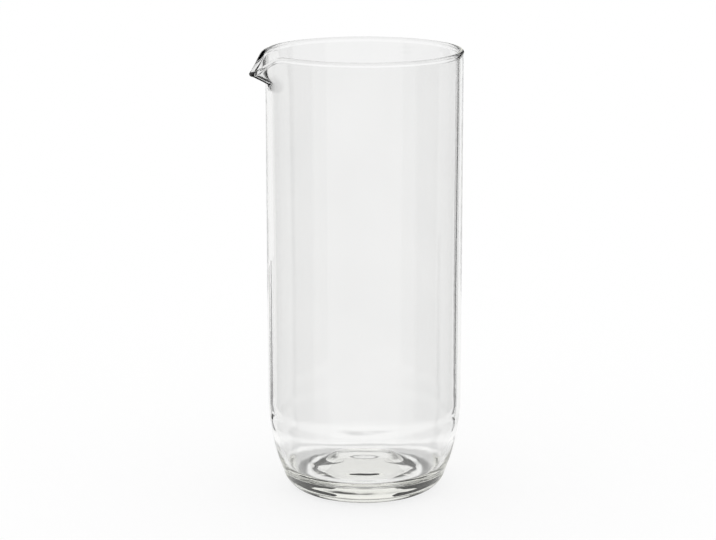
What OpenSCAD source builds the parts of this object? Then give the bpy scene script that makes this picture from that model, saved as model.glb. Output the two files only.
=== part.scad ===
// Cocktail pitcher: a tall straight-sided vessel of clear glass, blown in one piece,
// with a heavy domed base and a small V-shaped pouring lip pulled out of the rim.
// Millimetres. +Z is up along the body's axis, the origin is the middle of the foot on the table,
// and the lip points along -X.

/* [Body] */
// Overall height, from the table to the crest of the rim
body_h = 220; // [180:1:260]
// Outside diameter of the straight wall
body_d = 96; // [84:1:110]
// Wall thickness just under the rim
wall_rim = 2.2; // [1.6:0.1:3]
// Wall thickness in the lower half of the body
wall_low = 3.2; // [2.4:0.1:4.4]
// Height at which the wall has reached its lower thickness
thin_from_h = 100; // [70:1:130]
// How far the fire-polished bead of the rim stands proud of the wall on each side
bead_over = 0.2; // [0.1:0.05:0.6]

/* [Base] */
// Height at which the outside starts to draw in towards the foot
taper_h = 48; // [40:1:58]
// Radius of the long outside curve between the wall and the heel
taper_r = 108; // [95:1:140]
// Radius of the heel, between the long curve and the foot
heel_r = 12; // [8:0.5:15]
// Width of the flat ring that the pitcher stands on
foot_ring_w = 3; // [2:0.25:5]
// Height of the hollow under the base
punt_h = 2; // [1:0.25:5]
// Radius of the nearly flat top of that hollow
punt_top_r = 5.5; // [4:0.5:14]

/* [Inside] */
// How far below the outside taper the inside starts to draw in
taper_lag = 6; // [2:0.5:12]
// Radius of the long inside curve
cavity_taper_r = 75; // [65:1:100]
// Radius of the corner round the inside floor
cavity_corner_r = 8; // [6:0.5:11]
// Height of the inside floor above the table
floor_h = 9.75; // [7:0.25:12]
// Width of the flat ring of floor round the dome
floor_ring_w = 1.5; // [0.5:0.25:3]
// Rise of the dome in the middle of the floor
dome_h = 7.5; // [5:0.25:12]
// Radius of the nearly flat top of the dome
dome_top_r = 11.25; // [6:0.25:17]
// How late the dome's flank rises, where 1 is an even S-curve
dome_lean = 1.15; // [0.8:0.05:1.4]
// How far the ring of thicker wall lies below the start of the inside curve
ring_drop = 3.5; // [0:0.5:8]
// Half the height of that ring
ring_w = 3.6; // [2.5:0.1:4.5]
// How far the ring stands in from the wall
ring_over = 0.35; // [0:0.05:0.6]

/* [Pouring lip] */
// Width of the lip, measured round the wall at the rim
lip_w = 66; // [56:1:80]
// Width of the dip in the rim, measured the same way
dip_w = 40; // [32:1:56]
// How far the tip is pulled out from the wall
lip_reach = 9.5; // [6:0.25:12]
// How far the tip lies below the rim
lip_drop = 8.5; // [4:0.25:9]
// Depth below the rim at which the underside of the lip leaves the wall
lip_depth = 14.5; // [12:0.5:20]
// Softness of the fold where the lip leaves the wall
fold_soft = 1.9; // [1.4:0.1:2.4]
// Softness of the V at the lip's middle line
tip_soft = 1.4; // [1:0.1:3]
// How hollow the sides of the lip are seen from above, where 1 is a straight V
side_hollow = 3.4; // [2.6:0.1:4.2]
// How narrow the bottom of the dip is seen from the side, where 1 is an even S-curve to each side
dip_hollow = 2.1; // [1.4:0.1:2.6]

/* [Hidden] */

glass_colour = [0.90, 0.93, 0.91, 0.45];

// Facets of the turned body, steps along its curves and of the pulled lip
turn_steps = 240;
curve_steps = 12;
bead_steps = 12;
lip_side_steps = 24;
lip_height_steps = 18;
// Bunches the steps of the lip towards its middle line
lip_bunching = 1.4;
// The lip's own glass laps into the wall by this much, this far below the wall's skin
lip_lap = 0.5;
lip_skin = 0.02;
// Step for taking the slope of the lip
slope_step = 0.02;

body_r = body_d / 2;

// The rim: a bead centred on the wall
bead_r = wall_rim / 2 + bead_over;
bead_x = body_r - wall_rim / 2;
crest_z = body_h - bead_r;
neck_a = acos(wall_rim / 2 / bead_r);
neck_z = crest_z - bead_r * sin(neck_a);

// The inside of the base
cavity_r = body_r - wall_low;
cavity_taper_h = taper_h - taper_lag;

// The ring of thicker wall, which has faded out this many half heights above the start of that curve
ring_h = cavity_taper_h - ring_drop;
ring_reach = 3;
ring_top_h = cavity_taper_h + ring_reach * ring_w;

// The foot and the floor, whose radii follow from the two curves that meet there
foot_r = corner_x(body_r, taper_h, taper_r, heel_r, 0);
punt_r = foot_r - foot_ring_w;
floor_r = corner_x(cavity_r, cavity_taper_h, cavity_taper_r, cavity_corner_r, floor_h);
dome_r = floor_r - floor_ring_w;

// The lip, by angle from its middle line and by height on the wall before it was pulled
lip_half_a = lip_w / 2 / body_r * 180 / PI;
dip_half_a = dip_w / 2 / body_r * 180 / PI;
lap_a = lip_lap / body_r * 180 / PI;
fold_z = body_h - lip_depth;
pull_from_z = fold_z - 4 * fold_soft;
tip_share = tip_soft / (lip_w / 2);

// Points of an arc round c, both ends included
function arc(c, r, a0, a1, steps) =
    [for (i = [0:steps]) let (a = a0 + (a1 - a0) * i / steps) c + r * [cos(a), sin(a)]];

// Radius at which a wall of radius r, drawn in below h by a long curve and a corner, meets its floor
function corner_x(r, h, long_r, corner_r, floor_z) =
    r - long_r + sqrt(pow(long_r - corner_r, 2) - pow(h - floor_z - corner_r, 2));

// Those two curves, from the floor up to the wall
function draw_in(r, h, long_r, corner_r, floor_z) =
    let (
        x = corner_x(r, h, long_r, corner_r, floor_z),
        corner = [x, floor_z + corner_r],
        middle = [r - long_r, h],
        join_a = atan2(corner.y - middle.y, corner.x - middle.x)
    )
    concat(
        arc(corner, corner_r, -90, join_a, curve_steps),
        [for (i = [1:curve_steps])
            let (a = join_a * (1 - i / curve_steps)) middle + long_r * [cos(a), sin(a)]]
    );

// A soft rise from 0 to 1
function rise(u) = u * u * (3 - 2 * u);

// A swelling of height h on a floor at z: level at its foot and at its top
function swelling(foot, top, z, h, lean = 1) =
    [for (i = [0:curve_steps])
        let (u = i / curve_steps) [foot + (top - foot) * u, z + h * rise(pow(u, lean))]];

// How far the ring of thicker wall stands in at a height
function ring_at(z) = ring_over * exp(-pow((z - ring_h) / ring_w, 2));

// The inside of the base, from the top of that ring down to the floor
function cavity_curve() =
    concat(
        [for (i = [0:curve_steps - 1])
            let (z = ring_top_h + (cavity_taper_h - ring_top_h) * i / curve_steps) [cavity_r - ring_at(z), z]],
        [for (p = reversed(draw_in(cavity_r, cavity_taper_h, cavity_taper_r, cavity_corner_r, floor_h)))
            p - [ring_at(p.y), 0]]
    );

// A list back to front
function reversed(list) = [for (i = [len(list) - 1:-1:0]) list[i]];

// Half of the turned section: under the base, up the outside, over the rim, down to the dome
function section() =
    concat(
        [[0, punt_h]],
        reversed(swelling(punt_r, punt_top_r, 0, punt_h)),
        draw_in(body_r, taper_h, taper_r, heel_r, 0),
        arc([bead_x, crest_z], bead_r, -neck_a, 180 + neck_a, bead_steps),
        [[cavity_r, thin_from_h]],
        cavity_curve(),
        swelling(dome_r, dome_top_r, floor_h, dome_h, dome_lean),
        [[0, floor_h + dome_h]]
    );

// Wall thickness at a height
function wall_at(z) =
    wall_rim + (wall_low - wall_rim) * max(0, min(1, (neck_z - z) / (neck_z - thin_from_h)));

// How much of the pull a height on the wall takes: none below the fold, all of it at the crest
function bent(z) = (sqrt(pow(z - fold_z, 2) + pow(fold_soft, 2)) + z - fold_z) / 2;
function pulled(z) = max(0, (bent(z) - bent(pull_from_z)) / (bent(crest_z) - bent(pull_from_z)));

// How much of the pull an angle takes: a soft V, 1 at the middle line and 0 at the lip's edges
function soft_v(s) = sqrt(s * s + tip_share * tip_share) - tip_share;
function ridge(a) = 1 - soft_v(min(1, abs(a) / lip_half_a)) / soft_v(1);

// How much of the drop an angle takes: a soft hollow, level at its middle and at its edges
function dip(a) = pow(rise(1 - min(1, abs(a) / dip_half_a)), dip_hollow);

// The middle of the lip's glass
function lip_mid(a, z) =
    let (
        share = pulled(z),
        out = lip_reach * pow(ridge(a), side_hollow) * share,
        down = lip_drop * dip(a) * share,
        r = body_r - wall_at(z) / 2 + out
    )
    [-r * cos(a), -r * sin(a), z - down];

function unit(v) = v / norm(v);

// Direction up the lip, and outwards through its glass
function lip_up(a, z) = unit(lip_mid(a, z) - lip_mid(a, z - slope_step));
function lip_out(a, z) =
    unit(cross(lip_mid(a + slope_step, z) - lip_mid(a - slope_step, z), lip_up(a, z)));

// Section through the lip at one angle: up the outside, over the bead, down the inside
lip_heights =
    let (from_z = pull_from_z - 2 * lip_lap)
    [for (i = [0:lip_height_steps]) from_z + (neck_z - from_z) * i / lip_height_steps];

function lip_side(a, side) =
    [for (z = lip_heights) lip_mid(a, z) + lip_out(a, z) * side * (wall_at(z) / 2 - lip_skin)];

function lip_bead(a) =
    let (c = lip_mid(a, crest_z), up = lip_up(a, crest_z), out = lip_out(a, crest_z))
    [for (i = [1:bead_steps - 1])
        let (t = -neck_a + (180 + 2 * neck_a) * i / bead_steps)
        c + (bead_r - lip_skin) * (cos(t) * out + sin(t) * up)];

function lip_section(a) = concat(lip_side(a, 1), lip_bead(a), reversed(lip_side(a, -1)));

// The pulled lip, lofted through its sections from one edge to the other
module pulled_lip() {
    edge_a = lip_half_a + 2 * lap_a;
    sections =
        [for (i = [-lip_side_steps:lip_side_steps])
            let (s = i / lip_side_steps) lip_section(sign(s) * pow(abs(s), lip_bunching) * edge_a)];
    rows = len(sections);
    row = len(sections[0]);
    skin =
        [for (i = [0:rows - 2], j = [0:row - 1])
            let (
                a = i * row + j,
                b = i * row + (j + 1) % row,
                c = a + row,
                d = b + row
            )
            each [[a, b, d], [a, d, c]]];
    last = (rows - 1) * row;
    ends =
        [for (j = [0:floor(row / 2) - 1])
            let (
                k = row - 1 - j,
                first_half = [[j, k, k - 1], [last + j, last + k - 1, last + k]],
                second_half = [[j, k - 1, j + 1], [last + j, last + j + 1, last + k - 1]]
            )
            each j + 1 < k - 1 ? concat(first_half, second_half) : first_half];
    polyhedron(points = [for (s = sections) each s], faces = concat(skin, ends), convexity = 6);
}

// The part of the plain wall that the lip takes the place of
module lip_gap() {
    half_a = lip_half_a + lap_a;
    reach = 2 * body_r;
    translate([0, 0, pull_from_z - lip_lap])
        linear_extrude(height = body_h)
            polygon([[0, 0], reach * [-cos(half_a), sin(half_a)], reach * [-cos(half_a), -sin(half_a)]]);
}

// The whole vessel: one piece of glass
module glass_pitcher() {
    color(glass_colour) {
        difference() {
            rotate_extrude($fn = turn_steps)
                polygon(section());
            lip_gap();
        }
        pulled_lip();
    }
}

glass_pitcher();
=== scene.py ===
import math

import bpy
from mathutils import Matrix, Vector


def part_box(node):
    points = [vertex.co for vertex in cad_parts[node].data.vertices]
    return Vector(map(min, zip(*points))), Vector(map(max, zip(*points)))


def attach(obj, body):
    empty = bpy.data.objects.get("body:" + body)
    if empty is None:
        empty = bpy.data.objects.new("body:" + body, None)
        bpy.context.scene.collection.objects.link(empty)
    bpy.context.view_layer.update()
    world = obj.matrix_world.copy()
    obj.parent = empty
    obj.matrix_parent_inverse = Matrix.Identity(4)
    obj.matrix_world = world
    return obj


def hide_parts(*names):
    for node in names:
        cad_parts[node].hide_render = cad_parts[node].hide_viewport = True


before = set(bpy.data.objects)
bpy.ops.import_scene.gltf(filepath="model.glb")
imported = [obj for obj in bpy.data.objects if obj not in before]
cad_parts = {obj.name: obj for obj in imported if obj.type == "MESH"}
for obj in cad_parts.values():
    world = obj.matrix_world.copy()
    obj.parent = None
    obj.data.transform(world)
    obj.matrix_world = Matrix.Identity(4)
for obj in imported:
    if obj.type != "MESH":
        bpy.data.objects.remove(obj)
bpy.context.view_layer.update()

# Body and wall, in metres; the lip points along -X
body_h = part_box("glass_pitcher")[1].z
body_r = 0.048
wall_rim = 0.0022
wall_low = 0.0032
thin_from_h = 0.100
bead_over = 0.0002

# Outside of the base
taper_h = 0.048
taper_r = 0.108
heel_r = 0.012
foot_ring_w = 0.003
punt_h = 0.002
punt_top_r = 0.0055

# Inside of the base
taper_lag = 0.006
cavity_taper_r = 0.075
cavity_corner_r = 0.008
floor_h = 0.00975
floor_ring_w = 0.0015
dome_h = 0.0075
dome_top_r = 0.01125
dome_lean = 1.15

# Ring of thicker glass above the base
ring_drop = 0.0035
ring_w = 0.0036
ring_over = 0.00035
ring_fade = 3

# Lip
lip_w = 0.066
dip_w = 0.040
lip_reach = 0.0095
lip_drop = 0.0085
lip_depth = 0.0145
fold_soft = 0.0019
fold_fade = 4
tip_soft = 0.0014
side_hollow = 3.4
dip_hollow = 2.1

# Steps along the section and round the axis, finer where the lip is pulled
corner_steps = 18
taper_steps = 26
swelling_steps = 32
pole_steps = 6
ring_steps = 12
wall_steps = 20
lip_steps = 24
bead_steps = 14
lip_turn_steps = 120
body_turn_steps = 210
fine_spread = 1.1
merge_gap = 1e-7

# What follows from the sizes
bead_r = wall_rim / 2 + bead_over
bead_x = body_r - wall_rim / 2
crest_z = body_h - bead_r
neck_a = math.acos(wall_rim / 2 / bead_r)
neck_z = crest_z - bead_r * math.sin(neck_a)
cavity_r = body_r - wall_low
cavity_taper_h = taper_h - taper_lag
ring_h = cavity_taper_h - ring_drop
ring_top_h = cavity_taper_h + ring_fade * ring_w
lip_half_a = lip_w / 2 / body_r
dip_half_a = dip_w / 2 / body_r
fold_z = body_h - lip_depth
pull_from_z = fold_z - fold_fade * fold_soft
tip_share = tip_soft / (lip_w / 2)
lip_spread = fine_spread * lip_half_a

# Look of the glass: its tone and polish, the waves in its wall, and the tint of its thick parts
glass_ior = 1.5
drift_scale = 28
drift_low = 0.3
drift_high = 0.7
tone_low = (0.944, 0.945, 0.944, 1)
tone_high = (0.962, 0.962, 0.961, 1)
polish_most = 0.006
wave_scale = (80, 80, 190)
wave_low_z = 0.030
wave_high_z = 0.062
wave_least = 0.15
wave_from_r = 0.033
wave_full_r = 0.038
wave_depth = 0.0001
tint_colour = (0.80, 0.82, 0.40, 1)
tint_density = 1.8

# Camera
view_azimuth = math.radians(-17.5)
view_elevation = math.radians(12.94)
view_distance = 1.208
view_target_z = 0.11038
photo_width = 716
focal_pixels = 2447.3
side_shift_pixels = -6.45
light_bounces = 32

# Floor, and how brightly the glass sees it, with painted shadow rings round the foot: from, to and glow
# of rings outwards from under the foot
floor_size = 8.0
floor_drop = 0.0002
floor_tone = (0.2, 0.2, 0.2, 1)
floor_glow = 0.8
# Painted shadow: the glass sees the floor darkened in rings round the foot, darkest just outside it,
# with paler rings between
painted_shadow_rings = (
    (0.000, 0.0285, 0.95),
    (0.030, 0.0340, 0.10),
    (0.036, 0.0440, 0.54),
    (0.049, 0.0560, 0.88),
    (0.062, 0.0740, 0.64),
    (0.084, 0.0940, 0.85),
    (0.115, 0.2000, 0.75),
)

# Cards round the glass; turns are in degrees to the right of the view's forward axis
dark_tone = 0.03
board_tone = 0.58
overhead_h = 1.5
overhead_from = math.radians(39)
overhead_sides = 64
band_away = 1.5
band_high_z = 0.62
inner_low_z = 0.06
inner_low_turn = 7
inner_high_turn = 18
outer_low_z = 0.02
outer_turn = 30
outer_end_turn = 75
board_away = 0.18
board_h = 0.25
board_turn = 60
board_end_turn = 125
line_away = 0.13
left_line = {"turn": -48.5, "low_half": 4.5, "high_half": 1.5, "high_z": 0.09}
right_line = {"turn": 58, "low_half": 3, "high_half": 6, "high_z": 0.21}
lip_card_gap = 0.0015
lip_card_w = 0.0145
lip_card_under = 0.004
lip_card_near_turns = (-117, -97)
lip_card_far_turns = (-110, -95)


def shares(steps):
    """Even shares from 0 to 1, both included."""
    return [i / steps for i in range(steps + 1)]


def arc(centre, radius, from_a, to_a, steps):
    """Points of an arc, both ends included."""
    angles = [from_a + (to_a - from_a) * u for u in shares(steps)]
    return [(centre[0] + radius * math.cos(a), centre[1] + radius * math.sin(a)) for a in angles]


def straight(start, end, steps):
    """Points between two points, without either."""
    inner = shares(steps)[1:-1]
    return [(start[0] + (end[0] - start[0]) * u, start[1] + (end[1] - start[1]) * u) for u in inner]


def heights(low, high, steps):
    """Even heights from low to high, both included."""
    return [low + (high - low) * u for u in shares(steps)]


def corner_x(r, h, long_r, corner_r, floor_z):
    """Radius at which a wall drawn in below h by a long curve and a corner meets its floor."""
    return r - long_r + math.sqrt((long_r - corner_r) ** 2 - (h - floor_z - corner_r) ** 2)


def draw_in(r, h, long_r, corner_r, floor_z):
    """Those two curves, from the floor up to the wall."""
    corner = (corner_x(r, h, long_r, corner_r, floor_z), floor_z + corner_r)
    middle = (r - long_r, h)
    join_a = math.atan2(corner[1] - middle[1], corner[0] - middle[0])
    heel = arc(corner, corner_r, -math.pi / 2, join_a, corner_steps)
    return heel + arc(middle, long_r, join_a, 0, taper_steps)[1:]


def rise(u):
    """A soft rise from 0 to 1."""
    return u * u * (3 - 2 * u)


def swelling(foot, top, z, h, lean=1):
    """A swelling on a floor at z, level at its foot and at its top."""
    return [(foot + (top - foot) * u, z + h * rise(u ** lean)) for u in shares(swelling_steps)]


def wall_at(z):
    """Wall thickness at a height."""
    share = (neck_z - z) / (neck_z - thin_from_h)
    return wall_rim + (wall_low - wall_rim) * max(0, min(1, share))


def ring_at(z):
    """How far the ring of thicker glass above the base stands in from the wall."""
    return ring_over * math.exp(-((z - ring_h) / ring_w) ** 2)


def base_outside():
    """The hollow under the foot from the axis outwards, then the foot ring, heel and taper."""
    foot_r = corner_x(body_r, taper_h, taper_r, heel_r, 0)
    punt = swelling(foot_r - foot_ring_w, punt_top_r, 0, punt_h)[::-1]
    middle = (0, punt_h)
    hollow = [middle] + straight(middle, punt[0], pole_steps) + punt
    return hollow + draw_in(body_r, taper_h, taper_r, heel_r, 0)


def base_inside():
    """The inside of the taper, downwards, then the corner, the flat ring and the dome to the axis."""
    floor_r = corner_x(cavity_r, cavity_taper_h, cavity_taper_r, cavity_corner_r, floor_h)
    cavity = draw_in(cavity_r, cavity_taper_h, cavity_taper_r, cavity_corner_r, floor_h)[::-1]
    dome = swelling(floor_r - floor_ring_w, dome_top_r, floor_h, dome_h, dome_lean)
    middle = (0, floor_h + dome_h)
    dome_top = straight(dome[-1], middle, pole_steps) + [middle]
    return [(r - ring_at(z), z) for r, z in cavity] + dome + dome_top


def glass_section():
    """Half of the section: under the base, up the outside, over the rim, down to the dome."""
    wall_zs = heights(taper_h, pull_from_z, wall_steps)[1:-1]
    lip_zs = heights(pull_from_z, neck_z, lip_steps)[:-1]
    ring_zs = heights(cavity_taper_h, ring_top_h, ring_steps)[1:]
    outside_zs = wall_zs + lip_zs
    inside_zs = ring_zs + [z for z in outside_zs if z > ring_top_h]
    outside = [(body_r, z) for z in outside_zs]
    bead = arc((bead_x, crest_z), bead_r, -neck_a, math.pi + neck_a, bead_steps)
    inside = [(body_r - wall_at(z) - ring_at(z), z) for z in inside_zs[::-1]]
    return base_outside() + outside + bead + inside + base_inside()


def bent(z):
    """A soft fold: no bend below the fold, a straight one above it."""
    return (math.sqrt((z - fold_z) ** 2 + fold_soft ** 2) + z - fold_z) / 2


def pulled(z):
    """How much of the pull a height on the wall takes: all of it at the crest."""
    return max(0, (bent(z) - bent(pull_from_z)) / (bent(crest_z) - bent(pull_from_z)))


def soft_v(s):
    """A V with a soft point."""
    return math.sqrt(s * s + tip_share * tip_share) - tip_share


def ridge(a):
    """How much of the pull an angle takes: 1 at the middle line, 0 at the lip's edges."""
    return 1 - soft_v(min(1, abs(a) / lip_half_a)) / soft_v(1)


def dip(a):
    """How much of the drop an angle takes: a soft hollow, level at its middle and at its edges."""
    return rise(1 - min(1, abs(a) / dip_half_a)) ** dip_hollow


def lip_mid(a, z):
    """The middle of the lip's glass."""
    share = pulled(z)
    out = lip_reach * ridge(a) ** side_hollow * share
    down = lip_drop * dip(a) * share
    r = body_r - wall_at(z) / 2 + out
    return Vector((-r * math.cos(a), -r * math.sin(a), z - down))


def lip_place(a, r, z):
    """Where the pull takes a point of the glass that was at angle a, radius r and height z."""
    turn_step = 0.0004
    height_step = 0.00002
    on_wall = min(z, crest_z)
    mid = lip_mid(a, on_wall)
    up = (mid - lip_mid(a, on_wall - height_step)).normalized()
    along = lip_mid(a + turn_step, on_wall) - lip_mid(a - turn_step, on_wall)
    out = along.cross(up).normalized()
    return mid + out * (r - body_r + wall_at(on_wall) / 2) + up * (z - on_wall)


def pull_lip(mesh):
    """Pulls the lip out of the rim, point by point."""
    for v in mesh.vertices:
        a = math.atan2(-v.co.y, -v.co.x)
        if v.co.z > pull_from_z and abs(a) < lip_half_a:
            v.co = lip_place(a, math.hypot(v.co.x, v.co.y), v.co.z)


def spin_on(steps, angle):
    """Spins what is selected on round the axis."""
    bpy.ops.mesh.spin(steps=steps, angle=angle, axis=(0, 0, 1), center=(0, 0, 0))


def turned_glass(name):
    """The section drawn in edit mode from one point and spun round the axis in two arcs."""
    start_a = math.pi - lip_spread
    points = [Vector((r * math.cos(start_a), r * math.sin(start_a), z)) for r, z in glass_section()]
    bpy.ops.object.select_all(action="DESELECT")
    bpy.ops.mesh.primitive_plane_add(size=foot_ring_w, location=(0, 0, 0))
    piece = bpy.context.object
    piece.name = name
    bpy.ops.object.mode_set(mode="EDIT")
    bpy.ops.mesh.select_all(action="SELECT")
    bpy.ops.mesh.merge(type="CENTER")
    bpy.ops.transform.translate(value=points[0])
    for start, end in zip(points, points[1:]):
        bpy.ops.mesh.extrude_region_move(TRANSFORM_OT_translate={"value": end - start})
    bpy.ops.mesh.select_all(action="SELECT")
    spin_on(lip_turn_steps, 2 * lip_spread)
    spin_on(body_turn_steps, 2 * math.pi - 2 * lip_spread)
    bpy.ops.mesh.select_all(action="SELECT")
    bpy.ops.mesh.remove_doubles(threshold=merge_gap)
    bpy.ops.mesh.normals_make_consistent(inside=False)
    bpy.ops.mesh.faces_shade_smooth()
    bpy.ops.object.mode_set(mode="OBJECT")
    return piece


def new_material(name):
    """A new material with its nodes and links."""
    material = bpy.data.materials.new(name)
    material.use_nodes = True
    return material, material.node_tree.nodes, material.node_tree.links


def node(nodes, kind, **values):
    """A new node with its inputs set by name."""
    new = nodes.new(kind)
    for name, value in values.items():
        new.inputs[name.replace("_", " ")].default_value = value
    return new


def math_node(nodes, links, operation, first, second):
    """A new maths node fed by two sockets or numbers."""
    new = nodes.new("ShaderNodeMath")
    new.operation = operation
    for place, value in enumerate((first, second)):
        if isinstance(value, (int, float)):
            new.inputs[place].default_value = value
        else:
            links.new(value, new.inputs[place])
    return new.outputs[0]


def map_range(nodes, links, value, from_range, to_range):
    """A new node that carries a value from one range to another."""
    new = node(
        nodes, "ShaderNodeMapRange",
        From_Min=from_range[0], From_Max=from_range[1], To_Min=to_range[0], To_Max=to_range[1],
    )
    links.new(value, new.inputs["Value"])
    return new.outputs["Result"]


def length_of(nodes, links, vector):
    """The length of a vector."""
    new = nodes.new("ShaderNodeVectorMath")
    new.operation = "LENGTH"
    links.new(vector, new.inputs[0])
    return new.outputs["Value"]


def drift_tone(nodes, links, place, shader):
    """A tone that drifts a little over the glass, and the polish with it."""
    drift = node(nodes, "ShaderNodeTexNoise", Scale=drift_scale, Detail=1)
    links.new(place, drift.inputs["Vector"])
    tone = nodes.new("ShaderNodeValToRGB")
    stops = tone.color_ramp.elements
    for stop, position, colour in zip(stops, (drift_low, drift_high), (tone_low, tone_high)):
        stop.position = position
        stop.color = colour
    links.new(drift.outputs["Fac"], tone.inputs["Fac"])
    links.new(tone.outputs["Color"], shader.inputs["Base Color"])
    polish = map_range(nodes, links, drift.outputs["Fac"], (drift_low, drift_high), (0, polish_most))
    links.new(polish, shader.inputs["Roughness"])


def wall_waves(nodes, links, place, shader):
    """Waves left in the wall by the blowing: deepest above the base, none on the dome and the hollow."""
    stretch = node(nodes, "ShaderNodeMapping", Scale=wave_scale)
    waves = node(nodes, "ShaderNodeTexNoise", Scale=1, Detail=1)
    links.new(place, stretch.inputs["Vector"])
    links.new(stretch.outputs["Vector"], waves.inputs["Vector"])
    split = nodes.new("ShaderNodeSeparateXYZ")
    links.new(place, split.inputs["Vector"])
    level = nodes.new("ShaderNodeVectorMath")
    level.operation = "MULTIPLY"
    level.inputs[1].default_value = (1, 1, 0)
    links.new(place, level.inputs[0])
    axis_away = length_of(nodes, links, level.outputs["Vector"])
    fade = map_range(nodes, links, split.outputs["Z"], (wave_low_z, wave_high_z), (1, wave_least))
    on_wall = map_range(nodes, links, axis_away, (wave_from_r, wave_full_r), (0, 1))
    share = math_node(nodes, links, "MULTIPLY", fade, on_wall)
    bump = node(nodes, "ShaderNodeBump", Strength=1, Distance=wave_depth)
    links.new(math_node(nodes, links, "MULTIPLY", waves.outputs["Fac"], share), bump.inputs["Height"])
    links.new(bump.outputs["Normal"], shader.inputs["Normal"])


def clear_glass():
    """Clear blown glass: slightly uneven, with a breath of yellow-green in its thick parts."""
    material, nodes, links = new_material("clear_glass")
    shader = nodes["Principled BSDF"]
    shader.inputs["IOR"].default_value = glass_ior
    shader.inputs["Transmission Weight"].default_value = 1
    place = nodes.new("ShaderNodeTexCoord").outputs["Object"]
    drift_tone(nodes, links, place, shader)
    wall_waves(nodes, links, place, shader)
    tint = node(nodes, "ShaderNodeVolumeAbsorption", Color=tint_colour, Density=tint_density)
    links.new(tint.outputs["Volume"], nodes["Material Output"].inputs["Volume"])
    return material


def painted_shadow_glow(nodes, links):
    """How brightly the glass sees the floor: pale, with painted shadow rings round the foot, darkest
    just outside it, and paler rings between.
    """
    place = nodes.new("ShaderNodeTexCoord").outputs["Object"]
    away = length_of(nodes, links, place)
    outermost = painted_shadow_rings[-1][1]
    glows = [(r, glow) for start, end, glow in painted_shadow_rings for r in (start, end)]
    ramp = nodes.new("ShaderNodeValToRGB")
    stops = ramp.color_ramp.elements
    while len(stops) < len(glows):
        stops.new(1)
    for stop, (r, glow) in zip(stops, glows):
        stop.position = r / outermost
        stop.color = (glow, glow, glow, 1)
    links.new(math_node(nodes, links, "DIVIDE", away, outermost), ramp.inputs["Fac"])
    return ramp.outputs["Color"]


def white_floor():
    """A wide floor that is white to the camera and keeps a faint shadow; in the glass it shows painted
    shadow rings round the foot.
    """
    bpy.ops.object.select_all(action="DESELECT")
    bpy.ops.mesh.primitive_plane_add(size=floor_size, location=(0, 0, -floor_drop))
    floor = bpy.context.object
    floor.name = "floor"
    material, nodes, links = new_material("white_floor")
    shader = nodes["Principled BSDF"]
    shader.inputs["Base Color"].default_value = floor_tone
    shader.inputs["Roughness"].default_value = 1
    shader.inputs["Specular IOR Level"].default_value = 0
    shader.inputs["Emission Color"].default_value = (1, 1, 1, 1)
    path = nodes.new("ShaderNodeLightPath").outputs
    # The glass sees the floor's glow with painted shadow rings; the camera sees an even glow
    by_glass = math_node(nodes, links, "MAXIMUM", path["Is Glossy Ray"], path["Is Transmission Ray"])
    painted_shadows_in_glass = math_node(nodes, links, "MULTIPLY", by_glass, painted_shadow_glow(nodes, links))
    seen_straight = math_node(nodes, links, "MULTIPLY", path["Is Camera Ray"], floor_glow)
    glow = math_node(nodes, links, "MAXIMUM", painted_shadows_in_glass, seen_straight)
    links.new(glow, shader.inputs["Emission Strength"])
    floor.data.materials.append(material)


def white_world():
    """Even white light from all round."""
    world = bpy.data.worlds.new("white_studio")
    world.use_nodes = True
    world.node_tree.nodes["Background"].inputs["Color"].default_value = (1, 1, 1, 1)
    bpy.context.scene.world = world


def card_face(tone, mirrored_only):
    """An even grey for a card; mirrored_only hides the card from sight straight through the glass."""
    material, nodes, links = new_material("card_face")
    surface = nodes["Material Output"].inputs["Surface"]
    face = node(nodes, "ShaderNodeEmission", Color=(tone, tone, tone, 1), Strength=1)
    links.new(face.outputs["Emission"], surface)
    if mirrored_only:
        path = nodes.new("ShaderNodeLightPath").outputs
        straight_through = math_node(nodes, links, "LESS_THAN", path["Glossy Depth"], 0.5)
        clear = nodes.new("ShaderNodeBsdfTransparent")
        choice = nodes.new("ShaderNodeMixShader")
        links.new(straight_through, choice.inputs["Fac"])
        links.new(face.outputs["Emission"], choice.inputs[1])
        links.new(clear.outputs["BSDF"], choice.inputs[2])
        links.new(choice.outputs["Shader"], surface)
    return material


def finish_card(card, name, tone, mirrored_only=False):
    """Leaves a card to be seen only in and through the glass."""
    card.name = name
    card.data.materials.append(card_face(tone, mirrored_only))
    card.visible_camera = False
    card.visible_diffuse = False
    card.visible_shadow = False


def beside(turn, away, z):
    """A point so many degrees to the right of the view's forward axis."""
    a = math.pi / 2 + view_azimuth - math.radians(turn)
    return Vector((away * math.cos(a), away * math.sin(a), z))


def edge(away, z, from_turn, to_turn):
    """The two ends of a card's edge."""
    return beside(from_turn, away, z), beside(to_turn, away, z)


def flat_card(name, tone, first_edge, second_edge, mirrored_only=False):
    """A card between two edges."""
    bpy.ops.object.select_all(action="DESELECT")
    bpy.ops.mesh.primitive_plane_add(size=1, location=(0, 0, 0))
    card = bpy.context.object
    for vertex, corner in zip(card.data.vertices, first_edge + second_edge):
        vertex.co = corner
    finish_card(card, name, tone, mirrored_only)


def dark_overhead():
    """The dark of the room straight above, past the top of the white surround."""
    bpy.ops.object.select_all(action="DESELECT")
    bpy.ops.mesh.primitive_circle_add(
        vertices=overhead_sides, radius=overhead_h / math.tan(overhead_from),
        fill_type="NGON", location=(0, 0, overhead_h),
    )
    finish_card(bpy.context.object, "dark_overhead", dark_tone)


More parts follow.
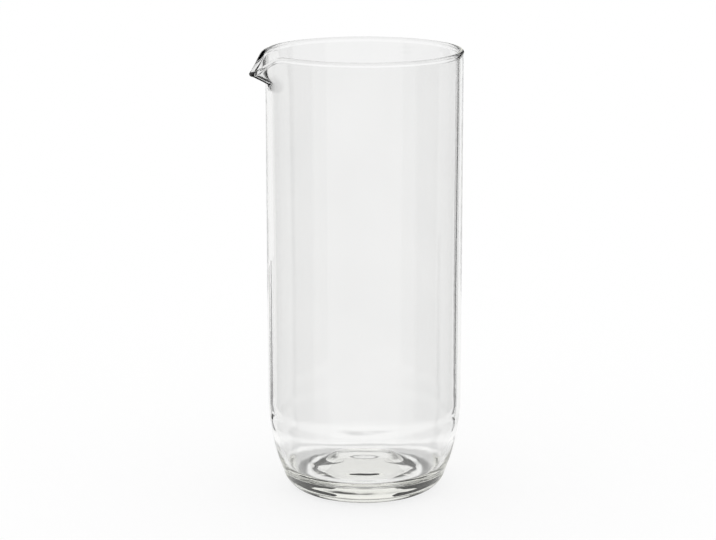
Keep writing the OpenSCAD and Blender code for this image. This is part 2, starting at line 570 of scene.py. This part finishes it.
def side_cards(side, name):
    """Dark cards behind one side of the glass and a grey board beside it."""
    flat_card(
        name + "_inner_flag", dark_tone,
        edge(band_away, inner_low_z, inner_low_turn * side, outer_turn * side),
        edge(band_away, band_high_z, inner_high_turn * side, outer_turn * side),
    )
    flat_card(
        name + "_outer_flag", dark_tone,
        edge(band_away, outer_low_z, outer_turn * side, outer_end_turn * side),
        edge(band_away, band_high_z, outer_turn * side, outer_end_turn * side),
    )
    flat_card(
        name + "_board", board_tone,
        edge(board_away, 0, board_turn * side, board_end_turn * side),
        edge(board_away, board_h, board_turn * side, board_end_turn * side),
        mirrored_only=True,
    )


def line_card(name, turn, low_half, high_half, high_z):
    """A thin dark card that draws the line down one side of the glass."""
    flat_card(
        name, dark_tone,
        edge(line_away, 0, turn - low_half, turn + low_half),
        edge(line_away, high_z, turn - high_half, turn + high_half),
        mirrored_only=True,
    )


def lip_card():
    """A small dark card that lies under the lip and draws the stroke along its fold."""
    near = body_r + lip_card_gap
    z = fold_z - lip_card_under
    flat_card(
        "lip_flag", dark_tone,
        edge(near, z, *lip_card_near_turns),
        edge(near + lip_card_w, z, *lip_card_far_turns),
        mirrored_only=True,
    )


def camera():
    """The photograph's view."""
    target = Vector((0, 0, view_target_z))
    back = Vector((
        math.sin(view_azimuth) * math.cos(view_elevation),
        -math.cos(view_azimuth) * math.cos(view_elevation),
        math.sin(view_elevation),
    ))
    lens = bpy.data.cameras.new("camera")
    lens.sensor_width = 36
    lens.lens = lens.sensor_width * focal_pixels / photo_width
    lens.shift_x = side_shift_pixels / photo_width
    eye = bpy.data.objects.new("camera", lens)
    eye.location = target + back * view_distance
    eye.rotation_euler = (-back).to_track_quat("-Z", "Y").to_euler()
    bpy.context.scene.collection.objects.link(eye)
    bpy.context.scene.camera = eye


# The glass
glass = turned_glass("glass_body")
pull_lip(glass.data)
glass.data.materials.append(clear_glass())
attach(glass, "root")
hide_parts("glass_pitcher")

# The studio
white_floor()
white_world()
dark_overhead()
side_cards(-1, "left")
side_cards(1, "right")
line_card("left_edge_flag", **left_line)
line_card("right_edge_flag", **right_line)
lip_card()
camera()
bpy.context.scene.view_settings.view_transform = "Standard"
bpy.context.scene.cycles.max_bounces = light_bounces
bpy.context.scene.cycles.transmission_bounces = light_bounces
bpy.context.scene.cycles.glossy_bounces = light_bounces
